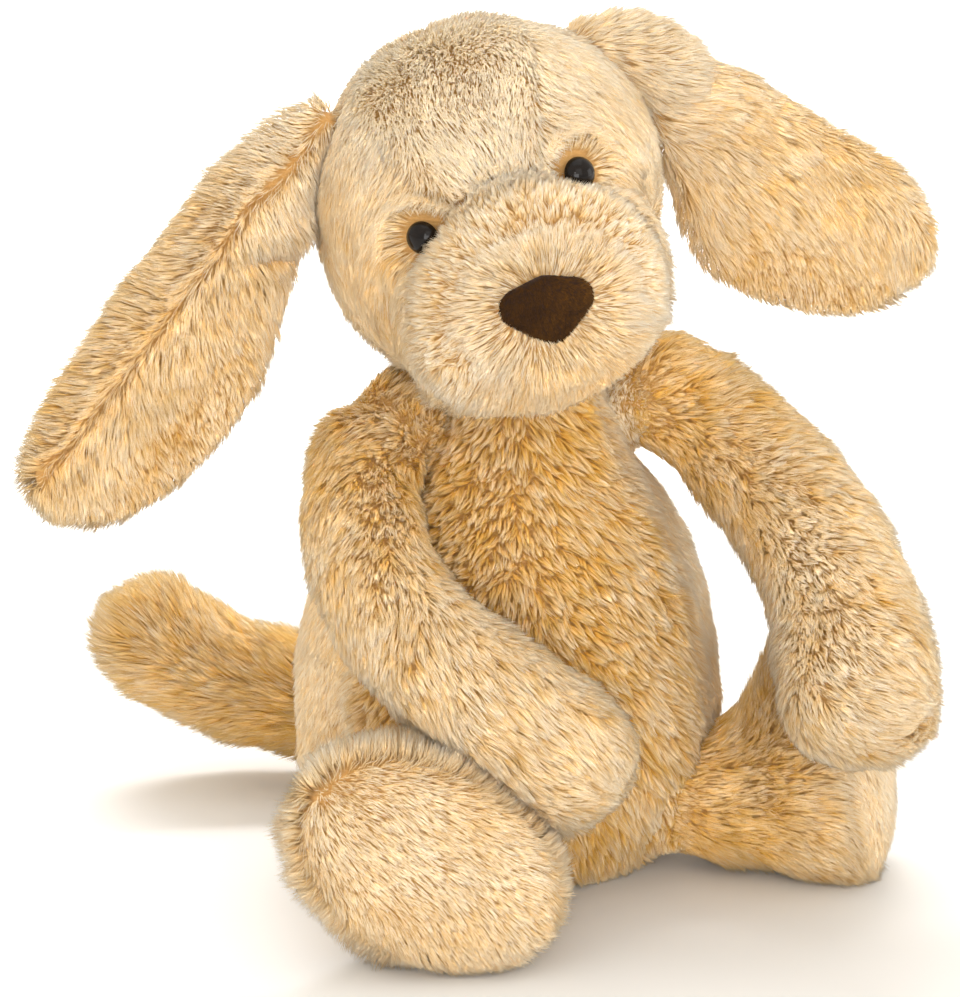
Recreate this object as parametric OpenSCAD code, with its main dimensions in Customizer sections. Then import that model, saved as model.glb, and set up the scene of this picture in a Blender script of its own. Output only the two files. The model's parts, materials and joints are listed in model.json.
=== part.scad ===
// Plush puppy, sitting, built from its sewn fabric panels, its stuffing, its
// bean pouches and its safety eyes. Millimetres. The dog faces -Y, its left
// side is +X, and the origin is the middle of the flat seat it rests on.

/* [Torso] */
// Width of the torso at its widest
torso_w = 107; // [103:1:110]
// Depth of the torso at its deepest, chest to back
torso_d = 93; // [89:1:96]
// Height of the torso, seat to the top of the neck
torso_h = 139; // [137:1:140]

/* [Head] */
// Width of the head across the cheeks
head_w = 84; // [82:1:85]
// Height of the skull
head_h = 87; // [85:1:88]
// Width of the muzzle
muzzle_w = 65; // [62:1:67]
// Tilt of the head towards the dog's right shoulder, in degrees
head_tilt = 21; // [19:1:23]

/* [Face] */
// Diameter of a safety eye
eye_d = 8.4; // [8:0.2:9]
// Width of the nose patch
nose_w = 25; // [24:0.5:26]

/* [Limbs] */
// Radius of a stuffed arm at the shoulder
arm_r = 11.5; // [11:0.5:12]
// Radius of a stuffed leg
leg_r = 16.5; // [15.5:0.5:17]
// Length of a leg, from the hip to the sole
leg_l = 63; // [61:1:64]
// Half length of the sole, heel to toe
sole_l = 33.5; // [32:0.5:35]
// Half width of the sole
sole_w = 23; // [21:1:24]
// Radius of the tail
tail_r = 10.5; // [10:0.5:11]

/* [Fabric] */
// Thickness of the fabric backing with its pressed pile
cloth = 2.2; // [1.8:0.1:2.4]
// Space kept between one sewn piece and the next
seam_gap = 0.4; // [0.3:0.05:0.5]
// Thickness of the seam thread
thread_d = 0.9; // [0.7:0.1:1]

/* [Hidden] */

plush = "#E3C08A";
plush_light = "#EBCD9C";
fibre = "#F4F1E8";
linen = "#D9D2C0";
suede = "#4A2F1C";
bead = "#15100D";
thread = "#C9A46B";

core_t = cloth + 1.1;        // depth of the stuffing's surface under the pile
play = 2.0;                  // space between a limb's root ball and its pocket
tip = 0.0005;                // share of a form's length left open at a gathered end
full = 1 - tip;

neck_at = [2, 0, 117];
neck_r = 22;
head_at = [-6, -9, 175.5];
head_turn = -4;
head_nod = 6;
left_shoulder = [36.5, -2, 118.5];
right_shoulder = [-30, -4, 114];
left_hip = [38, -21, 20.3];
right_hip = [-27, -39, 20.3];
left_leg_turn = 66;
right_leg_turn = 1.5;
left_foot_roll = 14;
right_foot_roll = -57;
left_splay = 9;              // how far the left leg turns outwards
tail_at = [-7, 39, 18];
tail_ahead = [-19.5, 12, 8];  // which way the tail's root points, half lifted

// ---- curves ----------------------------------------------------------------

function unit(v) = v / norm(v);
function mix(a, b, t) = a + (b - a) * t;

// A smooth curve through the rows of a table, u from 0 to 1
function along(rows, u) =
    let (
        n = len(rows) - 1,
        i = max(0, min(floor(u * n), n - 1)),
        t = u * n - i,
        p1 = rows[i],
        p2 = rows[i + 1],
        p0 = i > 0 ? rows[i - 1] : 2 * p1 - p2,
        p3 = i + 2 <= n ? rows[i + 2] : 2 * p2 - p1
    )
    0.5 * (2 * p1 + (p2 - p0) * t + (2 * p0 - 5 * p1 + 4 * p2 - p3) * t * t
        + (3 * p1 - p0 - 3 * p2 + p3) * t * t * t);

function place(row) = [row[0], row[1], row[2]];

function path_length(rows, i = 0) =
    i >= len(rows) - 1 ? 0
    : norm(place(rows[i + 1]) - place(rows[i])) + path_length(rows, i + 1);

// Where along() has its point that lies d along the path
function knot(rows, d, i = 0) =
    let (step = norm(place(rows[i + 1]) - place(rows[i])))
    d <= step || i + 2 >= len(rows) ? (i + d / step) / (len(rows) - 1) : knot(rows, d - step, i + 1);

// Radius of a rounded end, as a share of the full radius, x of the way in
function round_end(x) = x >= 1 ? 1 : x <= 0 ? 0 : sqrt(1 - (1 - x) * (1 - x));

// Steps that crowd towards both rounded ends
function eased(u0, u1, x) = mix(u0, u1, mix(x, (1 - cos(180 * x)) / 2, 0.8));

// A point of a stuffed tube whose rows are [x, y, z, half width, half depth],
// u along it, a around it in degrees, t deep under its surface
function tube_point(rows, side, start_round, end_rounding, u, a, t) =
    let (
        length = path_length(rows),
        d = mix(t, length - t, u),
        w = knot(rows, d),
        row = along(rows, w),
        ahead = unit(place(along(rows, min(w + 0.01, 1))) - place(along(rows, max(w - 0.01, 0)))),
        across = unit(cross(side, ahead)),
        up = cross(ahead, across),
        from_start = round_end((d - t) / (start_round - t)),
        from_end = round_end((length - d - t) / (end_rounding - t)),
        share = from_start * from_end
    )
    place(row) + across * cos(a) * (row[3] - t) * share + up * sin(a) * (row[4] - t) * share;

// ---- solids ----------------------------------------------------------------

// One fabric panel: the surface at(u, a, depth) between two depths
module panel(at, u0, u1, a0, a1, nu, na, outer = 0, inner = cloth) {
    wide = na + 1;
    layer = wide * (nu + 1);
    points = [
        for (depth = [outer, inner])
            for (i = [0:nu])
                for (j = [0:na])
                    at(eased(u0, u1, i / nu), mix(a0, a1, j / na), depth)
    ];
    faces = [
        for (i = [0:nu - 1])
            for (j = [0:na - 1])
                let (
                    a = i * wide + j,
                    b = a + wide,
                    c = b + 1,
                    d = a + 1
                )
                each [[a, b, c], [a, c, d], [a + layer, c + layer, b + layer], [a + layer, d + layer, c + layer]],
        for (i = [0:nu - 1])
            let (
                a = i * wide,
                b = a + wide,
                d = a + na,
                c = b + na
            )
            each [[b, a, a + layer], [b, a + layer, b + layer], [d, c, c + layer], [d, c + layer, d + layer]],
        for (j = [0:na - 1])
            let (
                a = j,
                d = j + 1,
                b = nu * wide + j,
                c = b + 1
            )
            each [[a, d, d + layer], [a, d + layer, a + layer], [c, b, b + layer], [c, b + layer, c + layer]]
    ];
    polyhedron(points = points, faces = faces, convexity = 6);
}

// A closed form made of rings, each ring(i) giving its points' depth and place
module rings(ring, count, na) {
    points = [
        for (i = [0:count - 1])
            for (j = [0:na - 1])
                ring(i, 360 * j / na)
    ];
    faces = [
        [for (j = [0:na - 1]) j],
        [for (j = [na - 1:-1:0]) (count - 1) * na + j],
        for (i = [0:count - 2])
            for (j = [0:na - 1])
                let (
                    a = i * na + j,
                    b = a + na,
                    d = i * na + (j + 1) % na,
                    c = d + na
                )
                each [[a, b, c], [a, c, d]]
    ];
    polyhedron(points = points, faces = faces, convexity = 6);
}

// Stuffing that fills a form up to its panels
module filling(at, u0, u1, nu, na, depth = core_t) {
    rings(function (i, a) at(eased(u0, u1, i / nu), a, depth), nu + 1, na);
}

// A round panel that closes a form's end, from its rim to the form's tip
module end_panel(at, rim, steps, na) {
    rings(
        function (i, a)
            i <= steps ? at(mix(full, rim, i / steps), a, cloth)
            : at(mix(rim, full, (i - steps - 1) / steps), a, 0),
        2 * steps + 2, na
    );
}

// A ring of seam thread behind a root ball of radius r, on the far side from the limb
module root_thread(at, ahead, r) {
    back = 0.8 * r;
    around = sqrt(pow(r + play / 2, 2) - back * back);
    color(thread)
        translate(at - unit(ahead) * back)
            aim(ahead)
                rotate_extrude($fn = 48)
                    translate([around, 0])
                        circle(d = thread_d, $fn = 16);
}

module pocket(at, r) {
    translate(at) sphere(r = r + play, $fn = 64);
}

// Turns +Z towards a direction
module aim(ahead) {
    rotate([0, acos(unit(ahead)[2]), atan2(ahead[1], ahead[0])]) children();
}

// The hollow that a limb lies in: a pocket for its root that runs on ahead as a groove
module limb_hollow(at, ahead, r) {
    wide = r + play;
    translate(at)
        aim(ahead)
            rotate_extrude($fn = 64)
                intersection() {
                    union() {
                        circle(r = wide, $fn = 64);
                        translate([-wide, 0]) square([2 * wide, 2.6 * r]);
                    }
                    translate([0, -2 * wide]) square([2 * wide, 6 * wide]);
                }
}

// ---- torso -----------------------------------------------------------------

function torso_row(lean, y, z, w, d) = [lean, y, z * torso_h, w * torso_w / 2, d * torso_d / 2];

torso_rows = [
    torso_row(0, 0, 0.018, 0.76, 0.76),
    torso_row(0, -3, 0.15, 0.95, 0.93),
    torso_row(0, -4, 0.29, 1, 1),
    torso_row(0, -3, 0.43, 0.96, 0.95),
    torso_row(0, -2, 0.57, 0.87, 0.84),
    torso_row(1, -1, 0.71, 0.64, 0.66),
    torso_row(2, 0, 0.86, 0.405, 0.466),
    [2, 0, torso_h, neck_r, neck_r]
];
neck_round = 19;
torso = function (u, a, t)
    let (
        w = mix(0, 1 - t / torso_h, u),
        row = along(torso_rows, w),
        share = round_end(((1 - w) * torso_h - t) / (neck_round - t))
    )
    place(row) + [cos(a) * (row[3] - t), sin(a) * (row[4] - t), 0] * share;
belly_from = 217;
belly_to = 323;
slit = 0.6;

function leg_ahead(turn) = [sin(turn), -cos(turn), 0];

module torso_hollows() {
    limb_hollow(left_shoulder, left_bend - left_shoulder, arm_r);
    limb_hollow(right_shoulder, right_bend - right_shoulder, arm_r);
    limb_hollow(left_hip, leg_ahead(left_leg_turn + left_splay / 2), leg_r);
    limb_hollow(right_hip, leg_ahead(right_leg_turn), leg_r);
    limb_hollow(tail_at, tail_ahead, tail_r * 1.15);
}

module torso_piece(a0, a1, na) {
    difference() {
        panel(torso, 0, full, a0 + slit, a1 - slit, 14, na);
        torso_hollows();
    }
}

module belly_panel() {
    color(plush) torso_piece(belly_from, belly_to, 9);
}

module left_side_panel() {
    color(plush_light) torso_piece(belly_to - 360, 90, 10);
}

module right_side_panel() {
    color(plush_light) torso_piece(90, belly_from, 10);
}

seat_r = 34.5;
module seat_panel() {
    color(plush)
        difference() {
            cylinder(h = cloth, r1 = seat_r - 1, r2 = seat_r, $fn = 96);
            torso_hollows();
        }
}

pouch_at = [0, 4, 11.5];
pouch_size = [19, 17, 8];
module torso_stuffing() {
    color(fibre)
        difference() {
            filling(torso, 0.005, full, 14, 24);
            torso_hollows();
            translate([pouch_at[0], pouch_at[1], -1])
                cylinder(h = pouch_at[2] + pouch_size[2] + 1.5, r = pouch_size[0] + 1, $fn = 48);
        }
}

module seat_bean_pouch() {
    squash = pouch_size[2] / pouch_size[0];
    color(linen)
        translate(pouch_at)
            rings(
                function (i, a)
                    let (rise = mix(-88, 88, i / 8))
                    [
                        cos(a) * cos(rise) * pouch_size[0],
                        sin(a) * cos(rise) * pouch_size[1],
                        sin(rise) * pouch_size[0] * squash
                    ],
                9, 18
            );
}

module neck_seam_thread() {
    above = 7;
    color(thread)
        translate(neck_at + [0, 0, above])
            rotate_extrude($fn = 64)
                translate([sqrt(pow(neck_r + play / 2, 2) - above * above), 0])
                    circle(d = thread_d, $fn = 16);
}

// ---- head ------------------------------------------------------------------

skull = [head_w / 2, head_w / 2 - 1, head_h / 2];
muzzle = [muzzle_w / 2, 30, 26];
muzzle_mid = [0, -39, -12];
head_mid = [0, -14, -4];
seam_ring = 43;
back_ring = 112;

// How far a ray from head_mid goes before it leaves an ellipsoid
function ray_out(ray, middle, size) =
    let (
        from = head_mid - middle,
        q = [for (k = [0:2]) from[k] / size[k]],
        e = [for (k = [0:2]) ray[k] / size[k]],
        b = q * e
    )
    (sqrt(b * b - (e * e) * (q * q - 1)) - b) / (e * e);

// The head's surface: u in degrees back from the nose, a around from the
// dog's left, down and on, t deep under the surface
head = function (u, a, t)
    let (
        ray = [cos(a) * sin(u), -cos(u), -sin(a) * sin(u)],
        far = ray_out(ray, [0, 0, 0], skull),
        near = ray_out(ray, muzzle_mid, muzzle),
        blend = 18,
        reach = pow(pow(far, blend) + pow(near, blend), 1 / blend)
    )
    head_mid + ray * (reach - t);

module on_head() {
    translate(head_at) rotate([head_nod, -head_tilt, head_turn]) children();
}

module neck_socket() {
    pocket(neck_at, neck_r);
}

eye_ring = 50;
eye_turn = [-36, 216];
eye_aim = [0, 0, 2];   // the skull's middle, which the eyes' stems point at
eye_stem = 1.7;
nose_turn = -10;       // the nose sits less tilted than the head
washer_r = 4.6;
washer_t = 1.2;
washer_deep = 4.4;

module at_eye(turn) {
    there = head(eye_ring, turn, 0);
    out = unit(there - eye_aim);
    translate(there + out * 0.5) aim(out) children();
}

module eye_holes(r, deep) {
    for (turn = eye_turn)
        at_eye(turn)
            translate([0, 0, -deep]) cylinder(h = deep + 3, r = r, $fn = 32);
}

// The stem's hole through the fabric, and the seat that the dome presses flat
module eye_seats() {
    eye_holes(eye_stem + 0.3, 6);
    eye_holes(eye_d / 2 + 0.4, 0);
}

module nose_shape(grow = 0) {
    wide = nose_w / 2 - 5.2;
    translate([0, -68.4, -4.6])
        rotate([8, -nose_turn, 0])
            scale([1, 0.5, 1])
                hull() {
                    translate([-wide, 0, 1.6]) sphere(r = 5.2 + grow, $fn = 20);
                    translate([wide, 0, 1.6]) sphere(r = 5.2 + grow, $fn = 20);
                    translate([0, 0, 4.6]) sphere(r = 4.4 + grow, $fn = 20);
                    translate([0.6, 0, -4.6]) sphere(r = 5.4 + grow, $fn = 20);
                }
}

module head_piece(u0, u1, a0, a1, nu, na) {
    difference() {
        on_head() panel(head, u0, u1, a0, a1, nu, na);
        neck_socket();
        on_head() eye_seats();
    }
}

module forehead_gusset() {
    color(plush_light) head_piece(seam_ring, back_ring, 242, 298, 8, 6);
}

module left_cheek_panel() {
    color(plush) head_piece(seam_ring, back_ring, -61, 39, 8, 10);
}

module right_cheek_panel() {
    color(plush) head_piece(seam_ring, back_ring, 141, 241, 8, 10);
}

module left_back_head_panel() {
    color(plush) head_piece(back_ring + 0.6, 179.8, -89.5, 89.5, 6, 14);
}

module right_back_head_panel() {
    color(plush) head_piece(back_ring + 0.6, 179.8, 90.5, 269.5, 6, 14);
}

module muzzle_panel() {
    color(plush_light)
        difference() {
            on_head() panel(head, 3, seam_ring - 0.6, 141, 399, 7, 24);
            on_head() nose_shape(0.5);
            on_head() eye_seats();
        }
}

module chin_panel() {
    color(plush)
        difference() {
            on_head() panel(head, 3, back_ring, 40, 140, 12, 10);
            neck_socket();
            on_head() nose_shape(0.5);
        }
}

module head_stuffing() {
    color(fibre)
        difference() {
            on_head() filling(head, 0.4, 179.6, 18, 30, cloth + 1.7);
            neck_socket();
            on_head() nose_shape(0.5);
            on_head() eye_holes(washer_r + 0.5, washer_deep + 4.6);
        }
}

module nose_patch() {
    color(suede) on_head() nose_shape();
}

module eye(turn) {
    dome = 3.3;
    color(bead)
        on_head()
            at_eye(turn)
                translate([0, 0, 0.3])
                    union() {
                        rotate_extrude($fn = 48)
                            intersection() {
                                scale([1, dome / (eye_d / 2)]) circle(d = eye_d, $fn = 64);
                                translate([0, 0]) square([eye_d, dome + 1]);
                            }
                        translate([0, 0, -8]) cylinder(h = 8.2, r = eye_stem, $fn = 24);
                    }
}

module left_eye() {
    eye(eye_turn[0]);
}

module right_eye() {
    eye(eye_turn[1]);
}

module eye_washers() {
    color("whitesmoke")
        on_head()
            for (turn = eye_turn)
                at_eye(turn)
                    translate([0, 0, -washer_deep])
                        difference() {
                            cylinder(h = washer_t, r = washer_r, $fn = 40);
                            translate([0, 0, -1]) cylinder(h = washer_t + 2, r = eye_stem + 0.06, $fn = 24);
                        }
}

// ---- ears ------------------------------------------------------------------

ear_thick = 2.9;
ear_edge = 0.7;
// Each row is the ear's top edge, then its lower edge
left_ear_rows = [
    [29, 2, 213, 45, 7, 173],
    [51, 4, 205, 53, 8, 155],
    [75, 6, 193, 68, 9, 144],
    [96, 7, 180, 88, 9, 138],
    [118, 8, 165, 110, 9, 139]
];
right_ear_rows = [
    [-46, -4, 202, -54, -7, 167],
    [-66, -8, 192, -62, -12, 147],
    [-88, -13, 170, -69, -16, 129],
    [-107, -17, 146, -83, -18, 113],
    [-123, -20, 121, -99, -20, 103],
    [-125, -21, 108, -113, -21, 100]
];

function ear_point(rows, u, a, t) =
    let (
        length = path_length(rows),
        row = along(rows, u),
        top = place(row),
        low = [row[3], row[4], row[5]],
        middle = (top + low) / 2,
        later = along(rows, min(u + 0.01, 1)),
        sooner = along(rows, max(u - 0.01, 0)),
        run = unit(place(later - sooner) + [later[3] - sooner[3], later[4] - sooner[4], later[5] - sooner[5]]),
        half = (low - top) / 2 * round_end((1 - u) * length / 19) * round_end(u * length / 3 + 0.2),
        face = unit(cross(run, half)),
        plump = ear_edge + (ear_thick - ear_edge) * round_end((1 - u) * length / 5) * abs(sin(a)),
        lift = sign(sin(a)) * (seam_gap / 2 + (t > 0 ? 0 : plump))
    )
    middle + half * cos(a) + face * lift;

module ear_leaf(rows, a0) {
    at = function (u, a, t) ear_point(rows, u, a, t);
    inset = 4;
    panel(at, 0.002, 0.998, a0 + inset, a0 + 180 - inset, 12, 8);
}

module left_ear_front() {
    color(plush) ear_leaf(left_ear_rows, 0);
}

module left_ear_back() {
    color(plush_light) ear_leaf(left_ear_rows, 180);
}

module right_ear_front() {
    color(plush) ear_leaf(right_ear_rows, 180);
}

module right_ear_back() {
    color(plush_light) ear_leaf(right_ear_rows, 0);
}

// ---- arms ------------------------------------------------------------------

function arm_row(x, y, z, grow) = [x, y, z, arm_r * grow, arm_r * grow];

// The rows of a limb's root: a ball of radius r round at, and its way ahead
function root_rows(at, next, r) = [for (k = [-1:1]) concat(at + unit(next - at) * r * k, [r, r])];

left_bend = [52, -12, 113];
right_bend = [-42, -20, 104];
left_arm_rows = [
    each root_rows(left_shoulder, left_bend, arm_r),
    concat(left_bend, [arm_r * 1.15, arm_r * 1.15]),
    arm_row(66, -34, 98, 1.25),
    arm_row(72, -60, 82, 1.35),
    arm_row(71, -82, 67, 1.5),
    arm_row(67, -93, 52, 1.5)
];
right_arm_rows = [
    each root_rows(right_shoulder, right_bend, arm_r),
    concat(right_bend, [arm_r * 1.1, arm_r * 1.1]),
    arm_row(-41, -44, 85, 1.12),
    arm_row(-28, -63, 70, 1.25),
    arm_row(-9, -70, 55, 1.35),
    arm_row(10, -75, 40, 1.35)
];
left_arm = function (u, a, t) tube_point(left_arm_rows, [1, 0, 1], arm_r, arm_r * 1.05, u, a, t);
right_arm = function (u, a, t) tube_point(right_arm_rows, [-1, 0, 1], arm_r, arm_r * 1.05, u, a, t);

module half_limb(at, a0, nu = 14, na = 6, u1 = full) {
    inset = 1.2;
    panel(at, tip, u1, a0 + inset, a0 + 180 - inset, nu, na);
}

module left_arm_outer() {
    color(plush) half_limb(left_arm, 0);
}

module left_arm_inner() {
    color(plush_light) half_limb(left_arm, 180);
}

module left_arm_stuffing() {
    color(fibre) filling(left_arm, tip, full, 14, 12);
}

module left_shoulder_thread() {
    root_thread(left_shoulder, left_bend - left_shoulder, arm_r);
}

module right_arm_outer() {
    color(plush) half_limb(right_arm, 0);
}

module right_arm_inner() {
    color(plush_light) half_limb(right_arm, 180);
}

module right_arm_stuffing() {
    color(fibre) filling(right_arm, tip, full, 14, 12);
}

module right_shoulder_thread() {
    root_thread(right_shoulder, right_bend - right_shoulder, arm_r);
}

// ---- legs ------------------------------------------------------------------

// Each row is [along the leg, towards the toes, half width, half height]
leg_rows = [
    [-leg_r, 0, 0, leg_r, leg_r],
    [0, 0, 0, leg_r, leg_r],
    [0.22 * leg_l, 0, 0, leg_r, leg_r],
    [0.42 * leg_l, 3, 0, sole_w * 0.8, sole_l * 0.58],
    [0.58 * leg_l, 11, 0, sole_w * 0.97, sole_l * 0.9],
    [0.75 * leg_l, 14, 0, sole_w, sole_l],
    [leg_l, 14, 0, sole_w, sole_l]
];
sole_round = 11;
toe_lean = 0.22;
sole_rim = 0.9;

function leg_point(u, a, t) =
    let (
        length = leg_l + leg_r,
        w = mix(t / length, 1 - t / length, u),
        row = along(leg_rows, w),
        share = round_end((w * length - t) / (leg_r - t)) * round_end(((1 - w) * length - t) / (sole_round - t)),
        rise = row[1] + sin(a) * (row[4] - t) * share,
        lean = toe_lean * max(0, row[0] / leg_l) * (rise + sole_l - row[1])
    )
    [cos(a) * (row[3] - t) * share, lean - row[0], rise];

// The leg in its own frame points along -Y with its toes up
leg = function (u, a, t) leg_point(u, a, t);

module on_leg(hip, turn, roll) {
    translate(hip) rotate([0, 0, turn]) rotate([0, roll, 0]) children();
}

module on_left_leg() {
    on_leg(left_hip, left_leg_turn, left_foot_roll) children();
}

module on_right_leg() {
    on_leg(right_hip, right_leg_turn, right_foot_roll) children();
}

module leg_half(a0) {
    half_limb(leg, a0, 12, 7, sole_rim - 0.012);
}

foot_beans_at = [0, -0.72 * leg_l, 3];
foot_beans_size = [12, 7, 12];

module leg_filling() {
    difference() {
        filling(leg, tip, full, 13, 14);
        translate(foot_beans_at + [0, -foot_beans_size[1] - 0.5, 0])
            rotate([-90, 0, 0])
                translate([0, 0, -30])
                    cylinder(h = 30 + 2 * foot_beans_size[1] + 1, r = foot_beans_size[0] + 0.6, $fn = 40);
    }
}

module foot_beans() {
    translate(foot_beans_at)
        rings(
            function (i, a)
                let (rise = mix(-88, 88, i / 6))
                [
                    cos(a) * cos(rise) * foot_beans_size[0],
                    -sin(rise) * foot_beans_size[1],
                    sin(a) * cos(rise) * foot_beans_size[2]
                ],
            7, 14
        );
}

module left_leg_outer() {
    color(plush) on_left_leg() leg_half(270);
}

module left_leg_inner() {
    color(plush_light) on_left_leg() leg_half(90);
}

module left_sole() {
    color(plush) on_left_leg() end_panel(leg, sole_rim, 3, 20);
}

module left_leg_stuffing() {
    color(fibre) on_left_leg() leg_filling();
}

module left_foot_beans() {
    color(linen) on_left_leg() foot_beans();
}

module left_hip_thread() {
    root_thread(left_hip, leg_ahead(left_leg_turn), leg_r);
}

module right_leg_outer() {
    color(plush) on_right_leg() leg_half(90);
}

module right_leg_inner() {
    color(plush_light) on_right_leg() leg_half(270);
}

module right_sole() {
    color(plush) on_right_leg() end_panel(leg, sole_rim, 3, 20);
}

module right_leg_stuffing() {
    color(fibre) on_right_leg() leg_filling();
}

module right_foot_beans() {
    color(linen) on_right_leg() foot_beans();
}

module right_hip_thread() {
    root_thread(right_hip, leg_ahead(right_leg_turn), leg_r);
}

// ---- tail ------------------------------------------------------------------

tail_bend = [-27, 52, 22];
function tail_row(x, y, z, grow) = [x, y, z, tail_r * grow, tail_r * grow];
tail_rows = [
    each root_rows(tail_at, tail_bend, tail_r),
    concat(tail_bend, [tail_r * 1.1, tail_r * 1.1]),
    tail_row(-45, 60, 23.5, 1.18),
    tail_row(-64, 67, 29, 1.2),
    tail_row(-78, 71, 37, 1.15),
    tail_row(-88, 73, 48, 1.1)
];
tail = function (u, a, t) tube_point(tail_rows, [0, 0, 1], tail_r, tail_r, u, a, t);

module tail_upper() {
    color(plush) half_limb(tail, 0, 12);
}

module tail_lower() {
    color(plush_light) half_limb(tail, 180, 12);
}

module tail_stuffing() {
    color(fibre) filling(tail, tip, full, 12, 12);
}

module tail_thread() {
    root_thread(tail_at, tail_bend - tail_at, tail_r);
}

belly_panel();
left_side_panel();
right_side_panel();
seat_panel();
torso_stuffing();
seat_bean_pouch();
neck_seam_thread();
forehead_gusset();
left_cheek_panel();
right_cheek_panel();
left_back_head_panel();
right_back_head_panel();
muzzle_panel();
chin_panel();
head_stuffing();
nose_patch();
left_eye();
right_eye();
eye_washers();
left_ear_front();
left_ear_back();
right_ear_front();
right_ear_back();
left_arm_outer();
left_arm_inner();
left_arm_stuffing();
left_shoulder_thread();
right_arm_outer();
right_arm_inner();
right_arm_stuffing();
right_shoulder_thread();
left_leg_outer();
left_leg_inner();
left_sole();
left_leg_stuffing();
left_foot_beans();
left_hip_thread();
right_leg_outer();
right_leg_inner();
right_sole();
right_leg_stuffing();
right_foot_beans();
right_hip_thread();
tail_upper();
tail_lower();
tail_stuffing();
tail_thread();
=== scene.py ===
"""Looks of the plush dog.

Each stuffed form gets one cover over its CAD panels and stuffing, with pressed seams and creases. A combed pile of
tapered fibres grows on the covers. The eyes and the seam threads are the CAD nodes, and the nose is a felt form.
Lengths are in metres, and in millimetres where they are followed by * MM.
"""

import heapq
import json
import math

import bpy
import numpy as np
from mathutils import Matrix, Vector
from mathutils.bvhtree import BVHTree
from mathutils.kdtree import KDTree


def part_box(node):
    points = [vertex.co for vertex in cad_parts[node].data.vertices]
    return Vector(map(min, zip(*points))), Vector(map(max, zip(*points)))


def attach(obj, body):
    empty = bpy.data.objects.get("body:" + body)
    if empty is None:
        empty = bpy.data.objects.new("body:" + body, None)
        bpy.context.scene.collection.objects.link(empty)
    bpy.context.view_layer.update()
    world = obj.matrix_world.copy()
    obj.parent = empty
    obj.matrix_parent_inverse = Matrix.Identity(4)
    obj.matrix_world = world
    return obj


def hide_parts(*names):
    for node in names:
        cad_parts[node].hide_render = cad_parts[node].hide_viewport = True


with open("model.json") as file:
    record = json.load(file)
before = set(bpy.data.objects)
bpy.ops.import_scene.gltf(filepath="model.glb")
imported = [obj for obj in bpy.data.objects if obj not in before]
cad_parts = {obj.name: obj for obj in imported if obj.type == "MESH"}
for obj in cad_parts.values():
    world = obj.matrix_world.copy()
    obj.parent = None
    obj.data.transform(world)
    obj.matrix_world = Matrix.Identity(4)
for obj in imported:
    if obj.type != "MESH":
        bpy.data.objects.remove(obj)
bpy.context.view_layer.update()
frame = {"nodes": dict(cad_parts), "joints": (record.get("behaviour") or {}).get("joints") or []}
MM = 0.001


# ---- numbers and vectors -----------------------------------------------------


def unit(v):
    return v / np.maximum(np.linalg.norm(v, axis=-1, keepdims=True), 1e-12)


def smooth(x, low, high):
    t = np.clip((x - low) / (high - low), 0, 1)
    return t * t * (3 - 2 * t)


def hump(x, width):
    return np.exp(-((x / width) ** 2))


def waves(p, size, seed, count=7):
    """A smooth random value of about -1 to 1 at each point, whose bumps are about size across."""
    rng = np.random.default_rng(seed)
    total = np.zeros(len(p))
    for _ in range(count):
        way = unit(rng.normal(size=3)) * (2 * math.pi / (size * rng.uniform(0.7, 1.5)))
        total += np.sin(p @ way + rng.uniform(0, 2 * math.pi))
    return total / math.sqrt(count) * 0.8


def wave_vector(p, size, seed):
    return np.stack([waves(p, size, seed + k) for k in range(3)], 1)


def along_surface(v, normal, at_least=0.0):
    """v without its part along the normal, made a unit vector where it is long enough."""
    flat = v - normal * (v * normal).sum(1, keepdims=True)
    return flat / np.maximum(np.linalg.norm(flat, axis=1, keepdims=True), max(at_least, 1e-9))


def centre(node):
    low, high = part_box(node)
    return np.array((low + high) / 2)


def joint_place(name):
    joint = next(j for j in frame["joints"] if j["name"] == name)
    return np.array(joint["pos_m"])


# ---- meshes --------------------------------------------------------------------


def arrays(mesh):
    """A mesh's points, triangles and vertex normals."""
    points = np.empty(len(mesh.vertices) * 3, np.float32)
    mesh.vertices.foreach_get("co", points)
    mesh.calc_loop_triangles()
    corners = np.empty(len(mesh.loop_triangles) * 3, np.int32)
    mesh.loop_triangles.foreach_get("vertices", corners)
    normals = np.empty(len(mesh.vertices) * 3, np.float32)
    mesh.vertex_normals.foreach_get("vector", normals)
    return (
        points.reshape(-1, 3).astype(float),
        corners.reshape(-1, 3),
        unit(normals.reshape(-1, 3).astype(float)),
    )


def put_mesh(name, points, faces):
    """A new object with a mesh of triangles."""
    mesh = bpy.data.meshes.new(name)
    mesh.vertices.add(len(points))
    mesh.vertices.foreach_set("co", np.asarray(points, np.float32).ravel())
    mesh.loops.add(faces.size)
    mesh.loops.foreach_set("vertex_index", np.asarray(faces, np.int32).ravel())
    mesh.polygons.add(len(faces))
    mesh.polygons.foreach_set("loop_start", np.arange(0, faces.size, 3, dtype=np.int32))
    mesh.update(calc_edges=True)
    obj = bpy.data.objects.new(name, mesh)
    bpy.context.scene.collection.objects.link(obj)
    return obj


def applied(obj):
    """The object, with its modifiers applied to its mesh."""
    graph = bpy.context.evaluated_depsgraph_get()
    mesh = bpy.data.meshes.new_from_object(obj.evaluated_get(graph))
    old = obj.data
    obj.modifiers.clear()
    obj.data = mesh
    bpy.data.meshes.remove(old)
    return obj


def shade_smooth(obj):
    obj.data.polygons.foreach_set("use_smooth", np.ones(len(obj.data.polygons), bool))


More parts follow.
